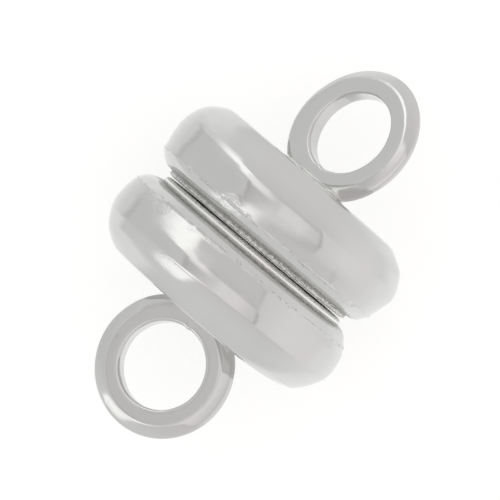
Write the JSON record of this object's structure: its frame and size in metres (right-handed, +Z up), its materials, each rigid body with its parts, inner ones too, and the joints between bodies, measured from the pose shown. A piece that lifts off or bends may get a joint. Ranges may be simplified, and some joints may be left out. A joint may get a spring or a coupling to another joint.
{
  "type": "magnetic clasp",
  "caption": "Round magnetic jewellery clasp: plated cups with disc magnets meet face to face, each with a soldered end loop for a cord or chain.",
  "frame": {"origin": "on the clasp's axis, midway between the two lips, in the plane where the halves meet", "axes": "+X along the clasp's axis from half A to half B; +Z up as the clasp lies on its side; the loops lean towards -Y"},
  "size_m": [0.0128, 0.008, 0.008],
  "materials": {
    "silver_plate": "bright polished silver plate over brass",
    "magnet_nickel": "satin nickel plate over the magnet"
  },
  "bodies": {
    "half_a": {"cup_a": "silver_plate", "magnet_a": "magnet_nickel"},
    "core_b": {"magnet_b": "magnet_nickel"},
    "half_b": {"cup_b": "silver_plate"}
  },
  "joints": [
    {"name": "pull_apart", "type": "slide", "parent": "half_a", "child": "core_b", "axis": [1, 0, 0], "range_m": [0, 0.01]},
    {"name": "swivel", "type": "hinge", "parent": "core_b", "child": "half_b", "pos_m": [0.0013, 0, 0], "axis": [1, 0, 0], "continuous": true}
  ]
}
